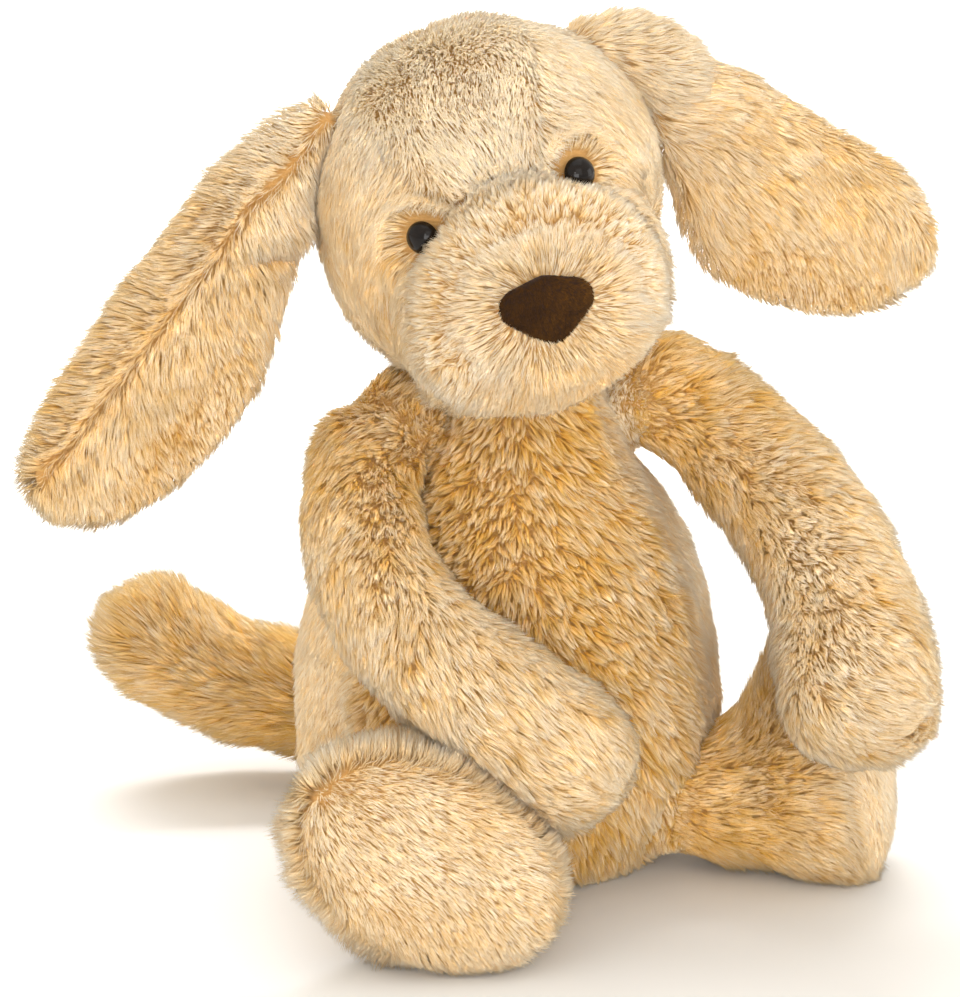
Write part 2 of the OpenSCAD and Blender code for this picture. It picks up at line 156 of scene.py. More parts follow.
def ball(middle, radius, rings=14):
    """Points and triangles of a sphere."""
    turns = 2 * rings
    up = np.pi * np.arange(1, rings) / rings
    around = 2 * np.pi * np.arange(turns) / turns
    grid = np.stack(
        [
            np.outer(np.sin(up), np.cos(around)),
            np.outer(np.sin(up), np.sin(around)),
            np.outer(np.cos(up), np.ones(turns)),
        ],
        -1,
    ).reshape(-1, 3)
    points = np.vstack([grid, [[0, 0, 1], [0, 0, -1]]]) * radius + middle
    faces = []
    for i in range(rings - 2):
        for j in range(turns):
            a, b = i * turns + j, i * turns + (j + 1) % turns
            faces += [(a, a + turns, b), (b, a + turns, b + turns)]
    top, low = len(grid), len(grid) + 1
    last = (rings - 2) * turns
    for j in range(turns):
        k = (j + 1) % turns
        faces += [(top, j, k), (low, last + k, last + j)]
    return points, np.array(faces)


def joined(parts):
    """Several (points, faces) as one."""
    points, faces, count = [], [], 0
    for p, f in parts:
        points.append(p)
        faces.append(f + count)
        count += len(p)
    return np.vstack(points), np.vstack(faces)


def cover_mesh(name, nodes, voxel, fill=(), relax=10):
    """One smooth closed cover over several CAD nodes, with balls that fill the hollows."""
    parts = [arrays(frame["nodes"][n].data)[:2] for n in nodes]
    parts += [ball(np.array(m), r) for m, r in fill]
    obj = put_mesh(name, *joined(parts))
    remesh = obj.modifiers.new("skin", "REMESH")
    remesh.mode = "VOXEL"
    remesh.voxel_size = voxel
    soft = obj.modifiers.new("soft", "SMOOTH")
    soft.factor = 0.5
    soft.iterations = relax
    return applied(obj)


def tree_of(obj):
    points, faces, _ = arrays(obj.data)
    return BVHTree.FromPolygons(points.tolist(), faces.tolist())


def nearest(points, tree, far):
    """The nearest place on a tree's surface to each point, and how far, negative inside, no more than far."""
    places, gaps = points.copy(), np.full(len(points), far)
    for i, p in enumerate(points.tolist()):
        hit, normal, _, gap = tree.find_nearest(p, far)
        if hit is not None:
            places[i] = hit
            gaps[i] = -gap if (Vector(p) - hit).dot(normal) < 0 else gap
    return places, gaps


def edges_of(faces):
    pairs = np.sort(np.vstack([faces[:, [0, 1]], faces[:, [1, 2]], faces[:, [2, 0]]]), axis=1)
    return np.unique(pairs, axis=0)


def relaxed(values, edges, rounds):
    """Values at a mesh's points, averaged with their neighbours' several times."""
    a, b = edges.T
    count = np.bincount(edges.ravel(), minlength=len(values)).astype(float)
    wide = values.reshape(len(values), -1).astype(float)
    for _ in range(rounds):
        total = [
            np.bincount(a, wide[b, k], len(wide)) + np.bincount(b, wide[a, k], len(wide))
            for k in range(wide.shape[1])
        ]
        wide = 0.4 * wide + 0.6 * np.stack(total, 1) / np.maximum(count, 1)[:, None]
    return wide.reshape(values.shape)


def reach_over(points, edges, start, radius):
    """The distance over the surface from the patch within radius of start, smoothed, at each point."""
    a, b = edges.T
    step = np.linalg.norm(points[a] - points[b], axis=1)
    links = [[] for _ in points]
    for i, j, d in zip(a.tolist(), b.tolist(), step.tolist()):
        links[i].append((j, d))
        links[j].append((i, d))
    gap = np.linalg.norm(points - start, axis=1)
    unreached, most = 9.0, 1.0
    best = np.full(len(points), unreached)
    queue = []
    for i in np.flatnonzero(gap < max(radius, gap.min() + 1 * MM)).tolist():
        best[i] = gap[i] * 0.5
        queue.append((best[i], i))
    heapq.heapify(queue)
    while queue:
        far, i = heapq.heappop(queue)
        if far > best[i]:
            continue
        for j, d in links[i]:
            if far + d < best[j]:
                best[j] = far + d
                heapq.heappush(queue, (far + d, j))
    return relaxed(np.minimum(best, most), edges, 30)


def slope(values, points, edges):
    """The direction in which a value at a mesh's points grows."""
    a, b = edges.T
    step = points[b] - points[a]
    pull = step * ((values[b] - values[a]) / (step * step).sum(1))[:, None]
    total = [np.bincount(a, pull[:, k], len(points)) + np.bincount(b, pull[:, k], len(points)) for k in range(3)]
    return unit(np.stack(total, 1))


# ---- materials -----------------------------------------------------------------


class Nodes:
    """Short calls for building a material's node tree."""

    def __init__(self, name):
        self.material = bpy.data.materials.new(name)
        self.material.use_nodes = True
        self.tree = self.material.node_tree
        self.tree.nodes.clear()
        self.shader = self.add("ShaderNodeBsdfPrincipled")
        out = self.add("ShaderNodeOutputMaterial")
        self.link(self.shader, "BSDF", out, "Surface")

    def add(self, kind, **settings):
        node = self.tree.nodes.new(kind)
        for k, v in settings.items():
            if hasattr(node, k) and k not in node.inputs:
                setattr(node, k, v)
            else:
                node.inputs[k].default_value = v
        return node

    def link(self, a, output, b, entry):
        self.tree.links.new(a.outputs[output], b.inputs[entry])

    def set(self, **values):
        for k, v in values.items():
            self.shader.inputs[k.replace("_", " ")].default_value = v

    def noise(self, scale, detail=2.0, roughness=0.5):
        node = self.add("ShaderNodeTexNoise", Scale=scale, Detail=detail, Roughness=roughness)
        self.link(self.add("ShaderNodeTexCoord"), "Object", node, "Vector")
        return node

    def ramp(self, source, output, stops):
        node = self.add("ShaderNodeValToRGB")
        band = node.color_ramp
        while len(band.elements) < len(stops):
            band.elements.new(0.5)
        for e, (at, colour) in zip(band.elements, stops):
            e.position = at
            e.color = (*colour, 1)
        self.link(source, output, node, "Fac")
        return node

    def mix(self, mode, factor, a, b):
        """The mixed colour of two sockets. The factor is a number or a socket."""
        node = self.add("ShaderNodeMix", data_type="RGBA", blend_type=mode)
        if isinstance(factor, float):
            node.inputs["Factor"].default_value = factor
        else:
            self.tree.links.new(factor, node.inputs["Factor"])
        self.tree.links.new(a, node.inputs[6])
        self.tree.links.new(b, node.inputs[7])
        return node.outputs[2]

    def bump(self, height, output, strength, depth):
        node = self.add("ShaderNodeBump", Strength=strength, Distance=depth)
        self.link(height, output, node, "Height")
        self.link(node, "Normal", self.shader, "Normal")


def srgb(*rgb):
    return tuple(c / 255 / 12.92 if c / 255 <= 0.04045 else ((c / 255 + 0.055) / 1.055) ** 2.4 for c in rgb)


def pile_material(name, deep, pale):
    """Fibres from root to tip along the UV's height, and from deep to pale tufts along its width."""
    m = Nodes(name)
    split = m.add("ShaderNodeSeparateXYZ")
    m.link(m.add("ShaderNodeUVMap", uv_map="OFBake"), "UV", split, "Vector")
    low = m.ramp(split, "Y", deep)
    high = m.ramp(split, "Y", pale)
    blended = m.mix("MIX", split.outputs["X"], low.outputs[0], high.outputs[0])
    tone = m.ramp(m.noise(90, 3, 0.6), "Fac", [(0.3, (0.90, 0.85, 0.78)), (0.7, (1, 1, 1))])
    shade = m.mix("MULTIPLY", 0.5, blended, tone.outputs[0])
    m.tree.links.new(shade, m.shader.inputs["Base Color"])
    m.set(Roughness=0.75, Sheen_Weight=0.2, Sheen_Roughness=0.45, Specular_IOR_Level=0.2)
    m.shader.inputs["Sheen Tint"].default_value = (*srgb(255, 236, 205), 1)
    m.shader.subsurface_method = "BURLEY"
    m.set(Subsurface_Weight=0.65, Subsurface_Scale=0.0013)
    m.shader.inputs["Subsurface Radius"].default_value = (0.85, 0.75, 0.6)
    return m.material


def cloth_material(name, dark, light, threads=900):
    """A knitted backing cloth, with its rows, its colour variation and a fine bump."""
    m = Nodes(name)
    rows = m.add("ShaderNodeTexWave", wave_type="BANDS", bands_direction="Z", Distortion=2.0)
    rows.inputs["Scale"].default_value = threads / 3
    m.link(m.add("ShaderNodeTexCoord"), "Object", rows, "Vector")
    colour = m.ramp(m.noise(threads, 3, 0.7), "Fac", [(0.3, dark), (0.7, light)])
    m.link(colour, "Color", m.shader, "Base Color")
    m.bump(rows, "Fac", 0.35, 0.0002)
    m.set(Roughness=0.9, Sheen_Weight=0.2)
    m.shader.subsurface_method = "BURLEY"
    m.set(Subsurface_Weight=0.6, Subsurface_Scale=0.004)
    m.shader.inputs["Subsurface Radius"].default_value = (0.85, 0.7, 0.5)
    return m.material


def grain_material(name, scale, dark, light, bump=0.0, **values):
    """A mottled colour, with a fine bump where bump is over 0, and the shader's own values."""
    m = Nodes(name)
    nap = m.noise(scale, 4, 0.7)
    colour = m.ramp(nap, "Fac", [(0.3, dark), (0.7, light)])
    m.link(colour, "Color", m.shader, "Base Color")
    if bump:
        m.bump(nap, "Fac", bump, 0.0003)
    m.set(**values)
    return m.material


# The pile's colours from root to tip, in its deepest and in its palest tufts. The roots are deeper and more
# saturated than the tips, partly the pile's own colour and partly painted shade deep in the pile.
DEEP = [
    (0.0, srgb(212, 140, 40)),
    (0.4, srgb(220, 162, 66)),
    (0.8, srgb(230, 188, 104)),
    (1.0, srgb(238, 206, 136)),
]
PALE = [
    (0.0, srgb(236, 184, 112)),
    (0.4, srgb(240, 216, 172)),
    (0.8, srgb(244, 235, 218)),
    (1.0, srgb(247, 242, 234)),
]

# ---- pile ------------------------------------------------------------------------

FIBRES_A_PIECE = 33000  # 6 triangles each, which keeps a piece under 200,000
DENSITY, WIDTH = ((5.1, 0.26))  # fibres per square millimetre, and their width in mm
ROOT_SINK = 0.4  # how deep in the cover a fibre starts, in mm
BEND_AT = 0.45  # where along a fibre it bends, as a share of its length
TUFTS = ((10, 0.8, 0.3), (60, 0.45, 0.1))  # fibres to a tuft, pull on their tips, and share of it on their bends
LOWEST_BEND, LOWEST_TIP = 0.3 * MM, 0.25 * MM  # above the floor


def clumps(roots, spacing, seed):
    """Each fibre's lead fibre, so that one fibre in spacing leads the tuft about it."""
    rng = np.random.default_rng(seed)
    count = max(4, int(len(roots) / spacing))
    chosen = rng.choice(len(roots), count, replace=False)
    tree = KDTree(count)
    for i, k in enumerate(chosen.tolist()):
        tree.insert(roots[k].tolist(), i)
    tree.balance()
    near = np.fromiter((tree.find(p)[1] for p in roots.tolist()), int, len(roots))
    return chosen[near]


class Pile:
    """What the pile does at each point of a cover: its way, length, lean, share kept, tufting and tone.

    The length is given in mm, and the lean in degrees from the cover's normal.
    """

    def __init__(self, points, flow, length=8.0, lean=58.0, tuft=0.5, tone=0.5):
        count = len(points)
        self.flow = flow
        self.length = np.full(count, length * MM)
        self.lean = np.full(count, float(lean))
        self.keep = np.ones(count)
        self.tuft = np.full(count, float(tuft))
        self.tone = np.full(count, float(tone))


def grow(skin, pile, per_mm2, seed, width):
    """A cover's fibres: roots, bends, tips, normals, thickness, tone, the cover's point near each, and the rng."""
    points, faces, normals = skin
    rng = np.random.default_rng(seed)
    a, b, c = (points[faces[:, k]] for k in range(3))
    area = np.linalg.norm(np.cross(b - a, c - a), axis=1) / 2
    which = rng.choice(len(faces), int(area.sum() * per_mm2 * 1e6), p=area / area.sum())
    r1, r2 = np.sqrt(rng.random(len(which))), rng.random(len(which))
    weight = np.stack([1 - r1, r1 * (1 - r2), r1 * r2], 1)
    kept = rng.random(len(which)) < (pile.keep[faces[which]] * weight).sum(1)
    corner, weight = faces[which][kept], weight[kept]

    def at(values):
        picked = values[corner]
        return (picked * (weight if picked.ndim == 2 else weight[..., None])).sum(1)

    count = len(corner)
    root, up = at(points), unit(at(normals))
    flow = at(pile.flow)
    strength = np.clip(np.linalg.norm(flow, axis=1), 0, 1)
    stray = rng.normal(0, 0.14, (count, 3))
    flow = along_surface(unit(flow) * np.maximum(strength, 0.35)[:, None] + stray, up)
    reach = at(pile.length) * rng.uniform(0.75, 1.12, count)
    lean = at(pile.lean) * (0.5 + 0.5 * strength) + rng.normal(0, 5, count)
    low, high = np.radians(lean * 0.7), np.radians(np.minimum(lean * 1.2, 86))
    first = up * np.cos(low)[:, None] + flow * np.sin(low)[:, None]
    second = up * np.cos(high)[:, None] + flow * np.sin(high)[:, None]
    root = root - up * ROOT_SINK * MM
    middle = root + first * (reach * BEND_AT)[:, None]
    tip = middle + second * (reach * (1 - BEND_AT))[:, None]
    tuft = at(pile.tuft) * rng.uniform(0.6, 1.2, count)
    tone = at(pile.tone) + rng.normal(0, 0.1, count)
    for spacing, share, bend in TUFTS:
        lead = clumps(root, spacing, seed + spacing)
        off = np.linalg.norm(root - root[lead], axis=1)
        own = rng.normal(0, 0.05, count)[lead]
        # Fibres far from their tuft's lead fibre get a deeper tone, painted shade in the gaps between tufts, and
        # each tuft gets its own random tone.
        tone = tone - tuft * share * 0.35 * (off / off.mean() - 1) + own
        tip = tip + (tip[lead] - tip) * np.clip(tuft * share, 0, 0.85)[:, None]
        middle = middle + (middle[lead] - middle) * (tuft * share * bend)[:, None]
    middle[:, 2] = np.maximum(middle[:, 2], LOWEST_BEND)
    tip[:, 2] = np.where(tip[:, 2] < LOWEST_TIP, LOWEST_TIP + np.abs(tip[:, 2]) * 0.02, tip[:, 2])
    thick = width * MM * rng.uniform(0.7, 1.25, count)
    tone = np.clip(tone, 0.01, 0.99)
    return root, middle, tip, up, thick, tone, corner[:, 0], rng


def fibre_mesh(name, root, middle, tip, up, thick, tone, rng):
    """Closed fibres, each a point at its root, three sides at its middle and a point at its tip."""
    count = len(root)
    axis = unit(tip - root)
    side = unit(np.cross(axis, rng.normal(size=(count, 3))))
    other = np.cross(axis, side)
    points, normals = np.empty((count, 5, 3)), np.empty((count, 5, 3))
    points[:, 0], points[:, 4] = root, tip
    normals[:, 0], normals[:, 4] = up, unit(up * 0.8 + axis * 0.3)
    for k in range(3):
        turn = 2 * math.pi * k / 3
        out = side * math.cos(turn) + other * math.sin(turn)
        points[:, k + 1] = middle + out * thick[:, None] * 0.5
        normals[:, k + 1] = unit(up * 0.75 + out * 0.42)
    pattern = np.array([(0, 2, 1), (0, 3, 2), (0, 1, 3), (1, 2, 4), (2, 3, 4), (3, 1, 4)])
    faces = (pattern[None] + 5 * np.arange(count)[:, None, None]).reshape(-1, 3)
    obj = put_mesh(name, points.reshape(-1, 3), faces)
    loops = faces.ravel()
    height = np.tile([0.01, BEND_AT, BEND_AT, BEND_AT, 0.99], count)[loops]
    uv = np.stack([np.repeat(tone, 5)[loops], height], 1).astype(np.float32)
    obj.data.uv_layers.new(name="OFBake").data.foreach_set("uv", uv.ravel())
    shade_smooth(obj)
    free = obj.data.attributes.new("custom_normal", "FLOAT_VECTOR", "POINT")
    free.data.foreach_set("vector", normals.reshape(-1, 3).astype(np.float32).ravel())
    return obj


def pile_pieces(names, zone, fibres, material, body):
    """One piece of pile for each named zone, or several where it is large."""
    *parts_of, near, rng = fibres
    root = parts_of[0]
    for k, name in enumerate(names):
        mine = np.flatnonzero(zone[near] == k)
        if len(mine) < 10:
            continue
        longest = np.ptp(root[mine], axis=0).argmax()
        mine = mine[np.argsort(root[mine, longest], kind="stable")]
        parts = math.ceil(len(mine) / FIBRES_A_PIECE)
        for part, pick in enumerate(np.array_split(mine, parts)):
            title = name + "_pile" + (f"_{part + 1}" if parts > 1 else "")
            piece = fibre_mesh(title, *(values[pick] for values in parts_of), rng)
            piece.data.materials.append(material)
            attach(piece, body)


# ---- covers --------------------------------------------------------------------------

HEAD_PANELS = [
    "forehead_gusset",
    "left_cheek_panel",
    "right_cheek_panel",
    "left_back_head_panel",
    "right_back_head_panel",
    "muzzle_panel",
    "chin_panel",
]
TORSO_PANELS = ["belly_panel", "left_side_panel", "right_side_panel", "seat_panel"]


def organ_of(panels, inner=(), voxel=1.6):
    """What a cover stands for: its CAD panels, the nodes inside them, and its voxel in mm."""
    return dict(panels=panels, inner=list(inner), voxel=voxel)


def ear_of(name):
    return organ_of([name + "_front", name + "_back"], voxel=1.3)


def arm_of(name):
    return organ_of([name + "_outer", name + "_inner"], [name + "_stuffing"])


def leg_of(side):
    name = side + "_leg"
    return organ_of([name + "_outer", name + "_inner", side + "_sole"], [name + "_stuffing", side + "_foot_beans"])


# Each organ is named as the body that it rides on.
ORGANS = {
    "torso": organ_of(TORSO_PANELS, ["torso_stuffing", "seat_bean_pouch"], 2.0),
    "head": organ_of(HEAD_PANELS, ["head_stuffing"]),
    "left_ear": ear_of("left_ear"),
    "right_ear": ear_of("right_ear"),
    "left_arm": arm_of("left_arm"),
    "right_arm": arm_of("right_arm"),
    "left_leg": leg_of("left"),
    "right_leg": leg_of("right"),
    "tail": organ_of(["tail_upper", "tail_lower"], ["tail_stuffing"]),
}


def root_of(joint, *balls):
    """Balls, as offset and radius in millimetres, that round off a limb's sewn root."""
    return [(joint_place(joint) + np.array(offset) * MM, radius * MM) for offset, radius in balls]


# Rounds that fill the hollows which the CAD leaves about the joints.
FILLS = {
    "torso": [
        *root_of("left_shoulder_swing", ((0, 0, 0), 12)),
        *root_of("right_shoulder_swing", ((0, 0, 0), 12)),
        *root_of("left_hip_splay", ((0, 0, 0), 17)),
        *root_of("right_hip_splay", ((0, 0, 0), 17)),
        *root_of("tail_wag", ((0, 0, 0), 12.5)),
    ],
    "left_ear": root_of(
        "left_ear_flap",
        ((-14, 2.5, 13), 8),
        ((-9, 2, 13.5), 8.5),
        ((-4, 2, 13), 9),
        ((1, 1.5, 12), 9),
        ((5, 1, 9), 9),
    ),
    "right_ear": root_of("right_ear_flap", ((3, 1.5, 9), 5)),
    "left_arm": root_of("left_shoulder_swing", ((3.5, -1, 3.5), 12), ((10.5, -4, -0.5), 11.5)),
    "right_arm": root_of("right_shoulder_swing", ((3, -2, 5), 11), ((-8, -9, -2.5), 11.5)),
}
RELAX_EAR, RELAX_OTHER = 4, 10
SEAM_DEPTH = 0.6 * MM
MUZZLE_CREASE = 1.2 * MM
MUZZLE_SWELL = 0.6 * MM
EYE_HOLLOW = 1.2 * MM
CHEEK_SHIFT = 2.2 * MM
LEFT_EAR_SHIFT = 2.4 * MM
FOLD_DEPTH, FOLD_SWELL = 1.8 * MM, 0.9 * MM
PINCH_DEPTH, PINCH_SWELL = 2.6 * MM, 1.4 * MM
PINCH_AT = 26 * MM

nose_at = centre("nose_patch")
eyes = {side: centre(side + "_eye") for side in ("left", "right")}
eye_line = unit(eyes["left"] - eyes["right"])
head_at = centre("head_stuffing")
ahead = unit(nose_at - head_at)
ahead = unit(ahead - eye_line * (ahead @ eye_line))
crown_way = np.cross(eye_line, ahead)
crown_way = crown_way if crown_way[2] > 0 else -crown_way


class Seams:
    """For each point of a cover: its nearest panel, how far off the next panel is, and the way away from it."""

    def __init__(self, points, panels):
        self.panels = panels
        found = [nearest(points, tree_of(frame["nodes"][n]), 70 * MM) for n in panels]
        self.gaps = np.abs(np.stack([f[1] for f in found], 1))
        order = np.argsort(self.gaps, axis=1)
        rows = np.arange(len(points))
        self.zone = order[:, 0]
        self.next = order[:, 1]
        self.off = self.gaps[rows, self.next] - self.gaps[rows, self.zone]
        self.away = points - np.stack([f[0] for f in found], 1)[rows, self.next]

    def gap_to(self, panel):
        return self.gaps[:, self.panels.index(panel)]

    def on(self, panel):
        return self.zone == self.panels.index(panel)

    def shares(self, width=3 * MM):
        """How much each panel counts at each point, with soft borders."""
        share = hump(self.gaps - self.gaps.min(1, keepdims=True), width)
        return share / share.sum(1, keepdims=True)


class Ear:
    """An ear's own frame: the way from root to tip, the way across it and its front."""

    def __init__(self, name, points):
        self.root = joint_place(name + "_flap")
        away = points - self.root
        tip = points[np.linalg.norm(away, axis=1).argmax()]
        self.axis = unit(tip - self.root)
        front, back = centre(name + "_front"), centre(name + "_back")
        face = front - back
        face = face if face[1] < 0 else -face
        self.face = unit(face - self.axis * (face @ self.axis))
        self.across = np.cross(self.axis, self.face)
        if self.across[2] > 0:
            self.across = -self.across
        self.s = away @ self.axis / np.linalg.norm(tip - self.root)
        self.t = away @ self.across
        steps = np.linspace(0, 1, 13)
        slices = [self.t[np.abs(self.s - s) < 0.06] for s in steps]
        low = np.interp(self.s, steps, [near.min() for near in slices])
        high = np.interp(self.s, steps, [near.max() for near in slices])
        self.half = np.maximum((high - low) / 2, 4 * MM)
        self.share = (self.t - (low + high) / 2) / self.half


def parting_of(ear):
    """Where the right ear's pile parts, as a share of its half width."""
    return np.interp(ear.s, [0.0, 0.15, 0.5, 0.85, 1.0], [0.1, -0.25, -0.42, -0.5, -0.7])


def sculpt_head(points, seams, depth):
    """The muzzle's crease and swell, the hollows about the eyes, and the lower cheeks' fullness."""
    chin = seams.on("chin_panel")
    on_muzzle = seams.on("muzzle_panel") | (chin & (points @ ahead > head_at @ ahead + 22 * MM))
    muzzle_edge = np.where(on_muzzle, seams.off, seams.gap_to("muzzle_panel"))
    at_chin = chin | (seams.next == seams.panels.index("chin_panel")) & on_muzzle
    share = np.where(at_chin, 0.0, 1.0)
    depth -= MUZZLE_CREASE * hump(muzzle_edge - 1 * MM, 3 * MM) * share
    swell = MUZZLE_SWELL * hump(seams.off - 9 * MM, 6 * MM) * on_muzzle * share
    for eye in eyes.values():
        gap = np.linalg.norm(points - eye, axis=1)
        swell *= smooth(gap, 8 * MM, 18 * MM)
        depth -= EYE_HOLLOW * hump(gap, 7 * MM)
    depth += swell
    off_side = (points - head_at) @ eye_line
    low = smooth((head_at - points) @ crown_way, -5 * MM, 20 * MM)
    fuller = CHEEK_SHIFT * smooth(-off_side, 12 * MM, 30 * MM)
    depth += low * (fuller - CHEEK_SHIFT * smooth(off_side, 20 * MM, 36 * MM))


def sculpt_right_ear(points, normals, depth):
    """The right ear's fold along its length, and the pinch across it near its root."""
    ear = Ear("right_ear", points)
    facing = smooth(normals @ ear.face, 0.1, 0.5)
    off = (ear.share - parting_of(ear)) * ear.half
    front = facing * smooth(ear.s, 0.02, 0.15) * smooth(1 - ear.s, 0.02, 0.12)
    depth -= FOLD_DEPTH * hump(off, 2.6 * MM) * front
    depth += FOLD_SWELL * hump(off + 7 * MM, 5 * MM) * front
    along = (points - ear.root) @ ear.axis
    across_fold = ((along - PINCH_AT) * 15 + (ear.t - 1 * MM) * 11) / 18.6
    lower = smooth(ear.t, -5 * MM, 2 * MM) * facing
    depth -= PINCH_DEPTH * hump(across_fold, 2.6 * MM) * lower
    depth += PINCH_SWELL * hump(across_fold + 6 * MM, 4.5 * MM) * lower


def sculpt(organ, cover):
    """Presses seams and creases into a cover."""
    points, _, normals = arrays(cover.data)
    seams = Seams(points, ORGANS[organ]["panels"])
    depth = -SEAM_DEPTH * hump(seams.off, 2.2 * MM)
    if organ == "head":
        sculpt_head(points, seams, depth)
    if organ == "left_ear":
        ear = Ear(organ, points)
        points = points + ear.across * (LEFT_EAR_SHIFT * smooth(ear.s, 0.2, 0.5))[:, None]
    if organ == "right_ear":
        sculpt_right_ear(points, normals, depth)
    points = points + normals * depth[:, None]
    points[:, 2] = np.maximum(points[:, 2], 0.0)
    cover.data.vertices.foreach_set("co", points.astype(np.float32).ravel())
    cover.data.update()
    return seams


cover_cloth = cloth_material("plush_backing", srgb(222, 164, 90), srgb(236, 186, 118))
covers, skins, seams_of = {}, {}, {}
for organ, facts in ORGANS.items():
    inner = [n for n in facts["inner"] if "stuffing" in n]
    cover = cover_mesh(
        organ + "_cover",
        facts["panels"] + inner,
        facts["voxel"] * MM,
        FILLS.get(organ, ()),
        relax=RELAX_EAR if "ear" in organ else RELAX_OTHER,
    )
    seams_of[organ] = sculpt(organ, cover)
    shade_smooth(cover)
    cover.data.materials.append(cover_cloth)
    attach(cover, organ)
    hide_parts(*facts["panels"], *facts["inner"])
    covers[organ] = cover
    skins[organ] = arrays(cover.data)

trees = {organ: tree_of(cover) for organ, cover in covers.items()}

# ---- combing -------------------------------------------------------------------------


def splay_at_seams(organ, pile, normals, width, share, rise, skip=()):
    """Turns the pile away from the seams and stands it up there."""
    seams = seams_of[organ]
    near = hump(seams.off, width)
    for panel in skip:
        near = near * ~(seams.on(panel) | (seams.next == seams.panels.index(panel)))
    pile.flow = pile.flow + along_surface(seams.away, normals, 0.5 * MM) * (near * share)[:, None]
    pile.lean = pile.lean - rise * near
    pile.tuft = pile.tuft + 0.08 * near


def head_flow(points, normals, seams, share):
    """Out from a whorl at the back of the head, and out from the nose on the muzzle and chin."""
    off_side = (points - head_at) @ eye_line
    side = np.tanh(off_side / (8 * MM))[:, None]
    out = points - nose_at
    whorl = head_at + (crown_way * 6 - ahead * 42) * MM
    whorl_gap = np.linalg.norm(points - whorl, axis=1)
    spokes = unit(points - whorl) - np.outer(hump(whorl_gap, 16 * MM), crown_way)
    ways = {
        "forehead_gusset": spokes - eye_line * off_side[:, None] * 6,
        "cheek": spokes + side * eye_line * 0.7,
        "back": spokes,
        "muzzle_panel": out,
        "chin_panel": out,
    }
    flow = np.zeros_like(points)
    for k, panel in enumerate(seams.panels):
        way = next(w for name, w in ways.items() if name in panel)
        flow += along_surface(way, normals) * share[:, k : k + 1]
    return flow


def comb_muzzle(pile, muzzle, nose_gap, seams):
    """Short, upright and tufted away from the nose, and a little longer at the muzzle's rim."""
    outer = smooth(nose_gap, 5 * MM, 14 * MM)
    pile.lean -= muzzle * (6 + 42 * outer)
    pile.length -= muzzle * (0.6 + 3.0 * outer) * MM
    pile.tuft += muzzle * (0.1 + 0.35 * outer)
    pile.flow *= (1 - 0.6 * muzzle * outer)[:, None]
    pile.length += 0.8 * MM * muzzle * hump(seams.off, 4 * MM)


def comb_round_eye(pile, points, normals, eye):
    """Short pile that points away from an eye, and none under the bead."""
    off = points - eye
    gap = np.linalg.norm(off, axis=1)
    near = (1 - smooth(gap, 5 * MM, 11 * MM))[:, None]
    pile.flow = pile.flow * (1 - near) + along_surface(off, normals) * near * 1.3
    pile.length *= 0.55 + 0.45 * smooth(gap, 4 * MM, 11 * MM)
    pile.lean -= 14 * (1 - smooth(gap, 4.5 * MM, 8 * MM))
    pile.keep *= smooth(gap, 4.3 * MM, 4.9 * MM)
    pile.tuft *= smooth(gap, 3 * MM, 9 * MM)


def comb_crown(pile, height):
    """Even, short pile over the crown, paler there as painted light on the top of the head, more upright on the
    very top.
    """
    crown = smooth(height, head_at @ crown_way + 12 * MM, head_at @ crown_way + 34 * MM)
    top = smooth(height, head_at @ crown_way + 27 * MM, head_at @ crown_way + 42 * MM)
    pile.tuft *= 1 - 0.95 * crown
    pile.lean += 3 * crown - 20 * top
    pile.length -= 1.6 * MM * crown
    # Painted light: paler over the crown.
    pile.tone += 0.12 * crown


def comb_round_nose(pile, above_nose, nose_gap):
    """Short pile that stands up at the nose's edge."""
    above = smooth(above_nose, -2 * MM, 4 * MM)
    pile.lean -= (12 + 26 * above) * (1 - smooth(nose_gap, 0.2 * MM, 3.5 * MM))
    pile.length *= 0.62 + 0.38 * smooth(nose_gap, 0.5 * MM, 5 * MM)


def comb_head():
    """Back to front over the head, out from the nose on the muzzle, and away from the eyes."""
    points, _, normals = skins["head"]
    seams = seams_of["head"]
    share = seams.shares()
    muzzle = share[:, seams.panels.index("muzzle_panel")]
    gusset = share[:, seams.panels.index("forehead_gusset")]
    height = points @ crown_way
    off_side = (points - head_at) @ eye_line
    _, nose_gap = nearest(points, tree_of(frame["nodes"]["nose_patch"]), 60 * MM)
    pile = Pile(points, head_flow(points, normals, seams, share), length=8.0, lean=68, tuft=0.22, tone=0.6)
    # Paler on the forehead gusset and the muzzle: partly the face's own paler pile, partly painted light on the
    # lit front of the face.
    pile.tone += 0.25 * gusset + 0.18 * muzzle
    # Paler higher up the head, painted light from above.
    pile.tone += 0.12 * smooth(height, head_at @ crown_way, head_at @ crown_way + 40 * MM)
    comb_muzzle(pile, muzzle, nose_gap, seams)
    # Paler on the head's +x side and darker on its -x side, away from the gusset and muzzle: painted light and
    # painted shade on the two sides.
    pile.tone += 0.08 * np.tanh(off_side / (20 * MM)) * (1 - gusset - muzzle)
    splay_at_seams("head", pile, normals, 4 * MM, 0.1, 0, skip=("muzzle_panel", "chin_panel"))
    for eye in eyes.values():
        comb_round_eye(pile, points, normals, eye)
    pile.keep *= smooth(nose_gap, -1.2 * MM, -0.5 * MM)
    comb_crown(pile, height)
    comb_round_nose(pile, (points - nose_at) @ crown_way, nose_gap)
    return pile


